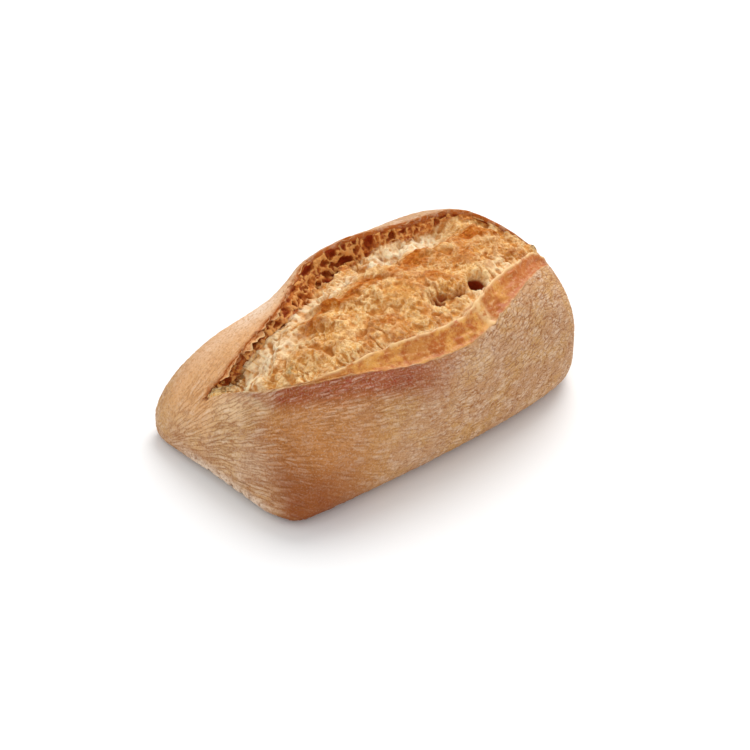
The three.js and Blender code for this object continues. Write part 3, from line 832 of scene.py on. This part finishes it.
def bubble_walls(tree, place, measure, jitter, bend, scale):
    """Distance to the nearest wall of a bubble pattern in a measure, which is bent by noise. The jitter is
    that noise's size in mm and its detail. A measure is a place or the name of one painted on the points."""
    if isinstance(measure, str):
        measure = add(tree, "ShaderNodeAttribute", attribute_name=measure).outputs["Vector"]
    noise_inputs = {"Vector": place, "Scale": 1000 / jitter[0], "Detail": jitter[1]}
    turn = {0: add(tree, "ShaderNodeTexNoise", noise_inputs).outputs["Color"], 1: bend}
    turn = add(tree, "ShaderNodeVectorMath", turn, operation="MULTIPLY").outputs[0]
    bent = add(tree, "ShaderNodeVectorMath", {0: measure, 1: turn}, operation="ADD").outputs[0]
    walls = {"Vector": bent, "Scale": scale}
    return add(tree, "ShaderNodeTexVoronoi", walls, feature="DISTANCE_TO_EDGE").outputs["Distance"]


def amount(tree, patterns, factors):
    """Product of factors. A factor is a share, a name, or a name with the levels between which it eases,
    its shares at them and the kind of easing. A name is a pattern's, or else a mask's on the points."""
    product = None
    for factor in factors:
        name, *levels = factor if isinstance(factor, tuple) else (factor,)
        value = patterns.get(name, name)
        if isinstance(value, str):
            value = add(tree, "ShaderNodeAttribute", attribute_name=name).outputs["Fac"]
        if levels:
            low, high, at_low, at_high, easing = (*levels, *EASED[len(levels):])
            ease = {"Value": value, "From Min": low, "From Max": high, "To Min": at_low, "To Max": at_high}
            value = add(tree, "ShaderNodeMapRange", ease, interpolation_type=easing).outputs["Result"]
        if product is not None:
            pair = {0: product, 1: value}
            value = add(tree, "ShaderNodeMath", pair, operation="MULTIPLY", use_clamp=True).outputs[0]
        product = value
    return product


def coated(tree, patterns, under, coats):
    """A colour under coats laid in order. Each coat is its colour, then the factors of its amount."""
    for colour, *factors in coats:
        under, over = (linear(c) if isinstance(c, str) else c for c in (under, colour))
        cover = {0: amount(tree, patterns, factors), 6: under, 7: over}
        under = add(tree, "ShaderNodeMix", cover, data_type="RGBA").outputs[2]
    return under


def piled(tree, patterns, layers):
    """A height from 0 to 1: each layer is ADD or SUBTRACT, then the factors of what it adds or takes."""
    height = 0.0
    for operation, *factors in layers:
        pair = {0: height, 1: amount(tree, patterns, factors)}
        height = add(tree, "ShaderNodeMath", pair, operation=operation, use_clamp=True).outputs[0]
    return height


def finish(tree, colour, rough, gloss, soft, height, strength, depth_mm):
    """Shader with its colour, roughness, gloss, share of light that enters it, and bumps of a real depth."""
    bump = {"Strength": strength, "Distance": depth_mm / 1000, "Height": height}
    shader = add(tree, "ShaderNodeBsdfPrincipled", {
        "Base Color": colour, "Roughness": rough, "IOR": BREAD_IOR, "Specular IOR Level": gloss,
        "Normal": add(tree, "ShaderNodeBump", bump).outputs["Normal"],
        "Subsurface Weight": soft, "Subsurface Radius": LIGHT_REACH, "Subsurface Scale": 1.0,
    })
    add(tree, "ShaderNodeOutputMaterial", {"Surface": shader.outputs[0]})


def baked_crust(colours):
    """Wheat crust, floured, proved and baked: matt and dusty over its folds, brown in the grooves,
    with a smooth glazed band where the dough opened early."""
    material, tree = new_material("wheat_crust_baked")
    patterns = noise_patterns(tree, {
        "specks": (0.6, 3.0, 0.6), "grain": (0.9, 3.0, 0.6), "flecks": (1.1, 4.0, 0.7),
        "gaps": (1.6, 4.0, 0.65), "fine": (2.2, 4.0, 0.65), "streaks": (3.6, 5.0, 0.7),
        "dust": (4.5, 5.0, 0.7), "patch": (11.0, 3.0, 0.55),
    })
    place = patterns["place"]

    # Crackle and ribs: thin brown lines between small plates and between long ribs, broken by noise
    patterns["plates"], even, odd = (
        bubble_walls(tree, place, measure, (2.2, 2.0), (bend, bend, 0.0), scale)
        for measure, bend, scale in (("weave", 0.9, 1.0), ("fan_even", 0.5, 1.15), ("fan_odd", 0.5, 1.15))
    )
    share = amount(tree, patterns, ["odd_share"])
    patterns["ribs"] = add(tree, "ShaderNodeMix", {0: share, 2: even, 3: odd}).outputs[0]
    broken = (("gaps", 0.36, 0.54, 0.4, 1.0), "ribbed")
    patchy = ("fine", 0.36, 0.56, 0.25, 1.0)
    patterns["cracks"] = amount(tree, patterns, [("plates", 0.085, 0.01), "crackle", patchy])
    patterns["rib_grooves"] = amount(tree, patterns, [("ribs", 0.14, 0.02), *broken])
    patterns["rib_tops"] = amount(tree, patterns, [("ribs", 0.12, 0.34), *broken])

    # Skin: brown in the grooves, floured on the folds, golden to the left, dark where it baked hardest, and
    # golden and lighter on the wedge's top and far side, which is partly painted light
    skin = coated(tree, patterns, colours.skin, (
        (colours.skin_gold, ("patch", 0.42, 0.62)),
        (colours.left, "left"),
        (colours.flour, ("dust", 0.42, 0.6), ("crest", 0.1, 0.6), ("left", 0, 1, 0.42, 0.2, "LINEAR")),
        (colours.groove, "cracks", 0.8),
        # Golden and lighter on the wedge's top and far side: partly painted light
        (colours.gold, "gold", ("grain", 0.2, 0.7, 0.9, 0.7)),
        (colours.deep_bake, "bake", ("patch", 0.25, 0.65, 0.8, 1.0), ("crest", 0.3, 0.95, 0.9, 0.65)),
        (colours.red_bake, "red", ("fine", 0.3, 0.6, 0.95, 0.75)),
        (colours.fresh, "fresh", 0.9),
        (colours.groove, "rib_grooves", ("gold", 0, 1, 0.7, 0.45, "LINEAR")),
        (colours.flour, "rib_tops", ("fine", 0.35, 0.6, 0.25, 0.85), ("bake", 0, 1, 0.55, 0.1, "LINEAR")),
        (colours.flour, "flour", ("grain", 0.3, 0.6, 0.45, 0.95)),
        (colours.groove, "pitted", 0.8),
        (colours.flour, ("specks", 0.48, 0.68), ("bake", 0, 1, 0.24, 0.1, "LINEAR")),
        (colours.groove, ("grain", 0.5, 0.38), 0.3),
    ))

    # Band: orange gold with darker spots, toasted along its foot, with pale flecks and one pale fold
    band = coated(tree, patterns, colours.band_dark, (
        (colours.band_light, ("streaks", 0.4, 0.6)),
        (colours.band_spot, ("grain", 0.52, 0.68), 0.55),
        (colours.band_spot, ("patch", 0.5, 0.62), 0.5),
        (colours.band_dark, "right", 0.85),
        (colours.lip, "low_band", ("fine", 0.3, 0.6, 0.6, 0.2)),
        (colours.rim, ("flecks", 0.5, 0.64), 0.3),
        (colours.rim, "fold", ("fine", 0.36, 0.56, 0.15, 0.85)),
    ))
    surface = coated(tree, patterns, skin, (
        (band, "band"),
        (colours.wall, "inside"),
        (colours.rim, "rim"),
        (colours.lip, "lip", patchy),
    ))

    # The band is smoother and glossier than the floured skin
    rough, gloss, strength = (
        amount(tree, patterns, [("band", 0, 1, skin_value, band_value, "LINEAR")])
        for skin_value, band_value in ((0.75, 0.45), (0.2, 0.35), (0.85, 0.3))
    )
    grit = {"Vector": place, "Scale": 1000 / GRIT_SIZE}
    patterns["grit"] = add(tree, "ShaderNodeTexVoronoi", grit, feature="F1").outputs["Distance"]
    patterns["cuts"] = piled(tree, patterns, (("ADD", "cracks"), ("ADD", "rib_grooves")))
    height = piled(tree, patterns, (
        ("ADD", "grit", 0.2), ("ADD", "grain", 0.4), ("ADD", "rib_tops", 0.3), ("SUBTRACT", "cuts", 0.5),
    ))
    finish(tree, surface, rough, gloss, 0.05, height, strength, 0.4)
    return material


def torn_crumb(colours):
    """Wheat crumb torn open and baked: cream on its thin webs, toasted orange on its ridges, and red
    brown in the holes under the lip. Its colour also holds painted light and shade from its relief:
    paler on raised places, golden brown in its hollows, and darker in its bubbles and holes."""
    material, tree = new_material("wheat_crumb_torn")
    patterns = noise_patterns(tree, {
        "grain": (0.7, 3.0, 0.6), "flecks": (1.0, 4.0, 0.75), "fine": (1.9, 4.0, 0.65),
        "bakes": (4.2, 3.0, 0.6), "patch": (7.0, 3.0, 0.55),
    })
    place = patterns["place"]
    patterns["webs"] = bubble_walls(tree, place, place, (1.6, 3.0), WEB_BEND, 1000 / WEB_SIZE)
    patterns["fine_pores"] = amount(tree, patterns, [("webs", 0.04, 0.3), ("patch", 0.35, 0.6, 0.35, 1.0)])
    patterns["specks"] = amount(tree, patterns, [("flecks", 0.5, 0.64)])

    # Pale threads where a distorted noise, folded at one half, comes to its crests
    wisp = {"Vector": place, "Scale": 1000 / 2.6, "Detail": 4.0, "Roughness": 0.6, "Distortion": 1.0}
    wisp = {0: add(tree, "ShaderNodeTexNoise", wisp).outputs["Fac"], 1: 0.5}
    patterns["wisp"] = add(tree, "ShaderNodeMath", wisp, operation="PINGPONG", use_clamp=True).outputs[0]
    patterns["threads"] = amount(tree, patterns, [("wisp", 0.43, 0.49)])

    toasted = coated(tree, patterns, colours.toast, ((colours.toast_dark, ("fine", 0.45, 0.6)),))
    wall = coated(tree, patterns, colours.wall, (
        (colours.wall_gold, ("fine", 0.4, 0.6)),
        # Paler on the raised walls between the lip's holes: partly painted light
        (colours.wall_web_and_raised_light, ("hollow", 0.4, 0.2), 0.7),
    ))
    crumb = coated(tree, patterns, colours.crumb, (
        (colours.crumb_gold, ("patch", 0.4, 0.6)),
        # Webs and threads paler on the raised places are painted light; tan in the hollows is painted shade
        (colours.web_and_raised_light, ("hollow", 0.65, 0.3), ("fine_pores", 0.5, 0.0, 0.1, 0.6)),
        (colours.web_and_raised_light, "threads", ("hollow", 0.8, 0.3, 0.2, 0.8)),
        (colours.tan, "fine_pores", ("hollow", 0, 1, 0.25, 0.6, "LINEAR")),
        (colours.tan, ("hollow", 0.5, 0.9), 0.75),
        (colours.brown_fleck_and_pore_shade, "specks", ("cream", 0, 1, 0.55, 0.3, "LINEAR")),
        (colours.brown_fleck_and_pore_shade, ("bakes", 0.52, 0.66), ("cream", 0.5, 0.0, 0.1, 0.45)),
        (colours.crumb_gold, "smooth", 0.7),
        # Cream kept off the hollows: painted shade
        (colours.cream, "cream", ("hollow", 0.35, 0.75, 1.0, 0.15)),
        (toasted, "toast", ("fine", 0.32, 0.5, 0.5, 1.0)),
        # Darker inside the cut bubbles: painted shade
        (colours.brown_fleck_and_pore_shade, "pore", ("fine", 0.3, 0.7, 0.4, 0.8)),
        (wall, "wall", 0.92),
        # Painted shade inside the deep holes, the lip's pits and the pocket
        (colours.painted_hole_shade, ("painted_hole_shade", 0.1, 0.8)),
    ))
    height = piled(tree, patterns, (
        ("ADD", "grain", 0.35), ("ADD", "threads", 0.35), ("ADD", 0.5), ("SUBTRACT", "specks", 0.3),
        ("SUBTRACT", "fine_pores", 0.3),
    ))
    finish(tree, crumb, 0.7, 0.12, 0.3, height, 0.8, 0.6)
    return material


def torn_flake(colours):
    """Thin torn crust: golden brown and pale at its free edge, with the lip's darker colour on its underside
    as painted shade.
    """
    material, tree = new_material("wheat_crust_flake")
    patterns = noise_patterns(tree, {"fine": (1.5, 4.0, 0.65)})
    colour = coated(tree, patterns, colours.gold, (
        (colours.lip, ("fine", 0.35, 0.65)),
        (colours.rim, ("tip", 0.6, 1.0), ("fine", 0.35, 0.55)),
        # Underside in the lip's darker colour: painted shade under the flake
        (colours.lip, "under", 0.8),
    ))
    finish(tree, colour, 0.6, 0.25, 0.1, patterns["fine"], 0.4, 0.2)
    return material


def studio_paper(colour):
    """White coated paper: matt and even, so that only the roll's own soft shadow shows on it."""
    material, tree = new_material("white_studio_paper")
    paper = {"Base Color": linear(colour), "Roughness": 0.9, "Specular IOR Level": 0.1}
    shader = add(tree, "ShaderNodeBsdfPrincipled", paper)
    add(tree, "ShaderNodeOutputMaterial", {"Surface": shader.outputs[0]})
    return material


def colour_setting(name, description, default):
    """A text property that holds one sRGB hex colour."""
    return bpy.props.StringProperty(name=name, description=description, default=default)


def size_setting(name, description, default):
    """A number property in the unit that its description gives."""
    return bpy.props.FloatProperty(name=name, description=description, default=default)


def count_setting(name, description, default):
    """A whole number of rows or columns."""
    return bpy.props.IntProperty(name=name, description=description, default=default, min=8)


def length_setting(name, description, default):
    """A length in metres."""
    return bpy.props.FloatProperty(name=name, description=description, default=default, unit="LENGTH")


def power_setting(name, description, default):
    """The power of a lamp."""
    return bpy.props.FloatProperty(name=name, description=description, default=default, unit="POWER")


class RollSizes(bpy.types.PropertyGroup):
    """Fineness of the grids and the sizes of the fine relief, in millimetres."""

    rows: count_setting("Rows", "Stations along the crust", 345)
    near_columns: count_setting("Side columns", "Columns on the near side", 173)
    far_columns: count_setting("Far columns", "Columns on the far side", 46)
    crumb_rows: count_setting("Crumb rows", "Stations along the crumb", 420)
    crumb_columns: count_setting("Crumb columns", "Columns across the crumb", 206)
    rib_pitch: size_setting("Rib pitch", "Spacing of the skin's ribs, mm", 1.3)
    rib_length: size_setting("Rib length", "Length of one rib, mm", 9.0)
    rib_height: size_setting("Rib height", "Height of the skin's ribs, mm", 0.5)
    plate_length: size_setting("Plate length", "Length of the crackle's plates, mm", 3.4)
    plate_height: size_setting("Plate height", "Height of the crackle's plates, mm", 1.3)
    wrinkle_height: size_setting("Crackle depth", "Depth of the grooves between plates, mm", 0.22)
    bubble_size: size_setting("Bubble size", "Spacing of the crumb's bubbles, mm", 2.8)
    bubble_depth: size_setting("Bubble depth", "Depth of the crumb's bubbles, mm", 0.5)
    ledge_height: size_setting("Ledges", "Height of the torn ledges of the crumb, mm", 1.1)
    crumb_crag: size_setting("Crumb crags", "Height of the small crags, mm", 1.1)
    alveolus_depth: size_setting("Lip holes", "Depth of the holes in the lip's wall, mm", 2.6)
    lip_rag: size_setting("Lip raggedness", "Raggedness of the far lip, degrees", 1.3)


class RollColours(bpy.types.PropertyGroup):
    """Colours of crust and crumb as sRGB hex values."""

    skin: colour_setting("Skin", "Folds of the floured skin", "#BC8E64")
    skin_gold: colour_setting("Golden skin", "Golden patches of the near side", "#C2935C")
    left: colour_setting("Left side", "Golden brown of the near side's left half", "#BC7E44")
    groove: colour_setting("Grooves", "Grooves between the ribs and between the plates", "#8E5222")
    fresh: colour_setting("Fresh folds", "Cream folds beside the tear's left end", "#E8C498")
    # Lip colour is also painted shade on the undersides of the lip's flakes
    lip: colour_setting("Lip", "Toasted edge of the far lip", "#AC5A1C")
    band_spot: colour_setting("Band spots", "Darkest spots of the band", "#A04E14")
    # Wedge gold is a golden tone, and partly painted light where it lies on the wedge's top and far side
    gold: colour_setting("Wedge gold", "Skin of the wedge's top and the far side", "#E4AA70")
    deep_bake: colour_setting("Deep bake", "Corner and foot of the near side", "#7E340C")
    red_bake: colour_setting("Red bake", "Skin just under the near edge", "#8C3012")
    flour: colour_setting("Flour", "Flour dust on the skin", "#E4CDB6")
    band_dark: colour_setting("Band dark", "Orange gold of the band", "#B05C18")
    band_light: colour_setting("Band light", "Lighter patches of the band", "#D89A48")
    rim: colour_setting("Rim", "Pale thin edges", "#E4BC84")
    crumb: colour_setting("Crumb", "Body of the crumb", "#EBBA76")
    crumb_gold: colour_setting("Golden crumb", "Golden patches of the crumb", "#E2A452")
    cream: colour_setting("Cream", "Fresh pale crumb", "#FFECC8")
    # Tan is also painted shade in the crumb's hollows
    tan: colour_setting("Tan", "Fine brown flecks of the crumb", "#CA7E38")
    # Webs are also painted light on the crumb's raised places
    web_and_raised_light: colour_setting("Webs", "Thin walls between bubbles", "#F6D49E")
    toast: colour_setting("Toast", "Toasted ridges", "#C06C18")
    toast_dark: colour_setting("Dark toast", "Darkest places of the toasted ridges", "#AA540C")
    # This colour is the crumb's brown flecks and baked spots, and also painted shade inside the cut bubbles
    brown_fleck_and_pore_shade: colour_setting("Bubbles", "Inside of the crumb's bubbles", "#C07834")
    wall: colour_setting("Wall", "Torn wall under the far lip", "#A04412")
    wall_gold: colour_setting("Golden wall", "Lighter places of the torn wall", "#CC762C")
    # Wall webs are also painted light on the raised parts of the torn wall
    wall_web_and_raised_light: colour_setting("Wall webs", "Thin walls between the lip's holes", "#E8A85E")
    # Caves: painted shade inside the deep holes
    painted_hole_shade: colour_setting("Caves", "Inside of deep holes", "#8A2C06")


class StageSettings(bpy.types.PropertyGroup):
    """Floor and lights of the studio."""

    floor_size: length_setting("Floor", "Side of the floor", 6.0)
    floor_colour: colour_setting("Paper", "Colour of the floor", "#F0F0F0")
    key_power: power_setting("Key light", "Power of the large soft light", 16.0)
    fill_power: power_setting("Fill light", "Power of the low front light", 3.6)
    sky: size_setting("Surround", "Strength of the white surround", 0.78)


def linked_piece(scene, name, grids, material):
    """A piece's object in the scene, with its mesh and material; its place is in the mesh."""
    mesh = mesh_from_grids(name, grids)
    mesh.materials.append(material)
    piece = bpy.data.objects.new(name, mesh)
    scene.collection.objects.link(piece)
    return piece


class ROLL_OT_crust(bpy.types.Operator):
    """Makes the crust: skin, band, lip and base as one closed surface"""

    bl_idname = "roll.crust"
    bl_label = "Crust"

    def execute(self, context):
        scene = context.scene
        grids, material = [crust_surface(scene.roll_sizes)], baked_crust(scene.roll_colours)
        crust = linked_piece(scene, "roll_crust", grids, material)
        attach(crust, "root")
        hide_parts("bread_roll")
        return {"FINISHED"}


class ROLL_OT_crumb(bpy.types.Operator):
    """Makes the crumb that fills the tear, as one closed surface"""

    bl_idname = "roll.crumb"
    bl_label = "Crumb"

    def execute(self, context):
        scene = context.scene
        grids, material = [crumb_surface(scene.roll_sizes)], torn_crumb(scene.roll_colours)
        crumb = linked_piece(scene, "roll_crumb", grids, material)
        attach(crumb, "root")
        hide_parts("bread_roll")
        return {"FINISHED"}


class ROLL_OT_flakes(bpy.types.Operator):
    """Makes the thin torn flakes of crust along the far lip"""

    bl_idname = "roll.flakes"
    bl_label = "Lip flakes"

    def execute(self, context):
        scene = context.scene
        grids, material = lip_flakes(scene.roll_sizes), torn_flake(scene.roll_colours)
        flakes = linked_piece(scene, "roll_lip_flakes", grids, material)
        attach(flakes, "root")
        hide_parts("bread_roll")
        return {"FINISHED"}


class ROLL_OT_stage(bpy.types.Operator):
    """Makes the white floor, the soft lights and the camera"""

    bl_idname = "roll.stage"
    bl_label = "Studio stage"

    def execute(self, context):
        scene = context.scene
        settings = scene.roll_stage
        half = settings.floor_size / 2
        mesh = bpy.data.meshes.new("floor")
        corners = [(-half, -half, 0), (half, -half, 0), (half, half, 0), (-half, half, 0)]
        mesh.from_pydata(corners, [], [(0, 1, 2, 3)])
        mesh.materials.append(studio_paper(settings.floor_colour))
        floor = bpy.data.objects.new("floor", mesh)
        scene.collection.objects.link(floor)
        lights = (
            ("key", KEY_PLACE, KEY_WIDTH, settings.key_power),
            ("fill", FILL_PLACE, FILL_WIDTH, settings.fill_power),
        )
        for name, spot, size, power in lights:
            lamp = bpy.data.lights.new(name, "AREA")
            lamp.shape, lamp.size, lamp.energy = "DISK", size, power
            holder = bpy.data.objects.new(name, lamp)
            holder.location = spot
            holder.rotation_mode = "QUATERNION"
            holder.rotation_quaternion = (Vector(LAMP_AIM) - Vector(spot)).to_track_quat("-Z", "Y")
            scene.collection.objects.link(holder)
        world = bpy.data.worlds.new("surround")
        world.use_nodes = True
        surround = world.node_tree.nodes["Background"]
        surround.inputs["Color"].default_value = (1, 1, 1, 1)
        surround.inputs["Strength"].default_value = settings.sky
        scene.world = world
        scene.view_settings.view_transform = "Standard"
        turn, rise = math.radians(CAMERA_TURN), math.radians(CAMERA_RISE)
        back = Vector((math.sin(turn) * math.cos(rise), -math.cos(turn) * math.cos(rise), math.sin(rise)))
        lens = bpy.data.cameras.new("camera")
        lens.lens, lens.sensor_width = CAMERA_LENS, SENSOR_WIDTH
        camera = bpy.data.objects.new("camera", lens)
        camera.location = Vector(CAMERA_AIM) + back * CAMERA_DISTANCE
        camera.rotation_mode = "QUATERNION"
        camera.rotation_quaternion = (-back).to_track_quat("-Z", "Y")
        scene.collection.objects.link(camera)
        scene.camera = camera
        return {"FINISHED"}


class ROLL_PT_panel(bpy.types.Panel):
    """Lists the roll's pieces and their settings"""

    bl_idname = "ROLL_PT_panel"
    bl_label = "Bread Roll"
    bl_space_type = "VIEW_3D"
    bl_region_type = "UI"
    bl_category = "Bread Roll"

    def draw(self, context):
        for operator in OPERATORS:
            self.layout.operator(operator.bl_idname)
        for group in (context.scene.roll_sizes, context.scene.roll_colours, context.scene.roll_stage):
            box = self.layout.box()
            for name in group.__annotations__:
                box.prop(group, name)


OPERATORS = (ROLL_OT_crust, ROLL_OT_crumb, ROLL_OT_flakes, ROLL_OT_stage)
CLASSES = (RollSizes, RollColours, StageSettings, *OPERATORS, ROLL_PT_panel)


def register():
    for cls in CLASSES:
        bpy.utils.register_class(cls)
    bpy.types.Scene.roll_sizes = bpy.props.PointerProperty(type=RollSizes)
    bpy.types.Scene.roll_colours = bpy.props.PointerProperty(type=RollColours)
    bpy.types.Scene.roll_stage = bpy.props.PointerProperty(type=StageSettings)


def unregister():
    del bpy.types.Scene.roll_stage
    del bpy.types.Scene.roll_colours
    del bpy.types.Scene.roll_sizes
    for cls in reversed(CLASSES):
        bpy.utils.unregister_class(cls)


def main():
    register()
    bpy.ops.roll.crust()
    bpy.ops.roll.crumb()
    bpy.ops.roll.flakes()
    bpy.ops.roll.stage()


if __name__ == "__main__":
    main()
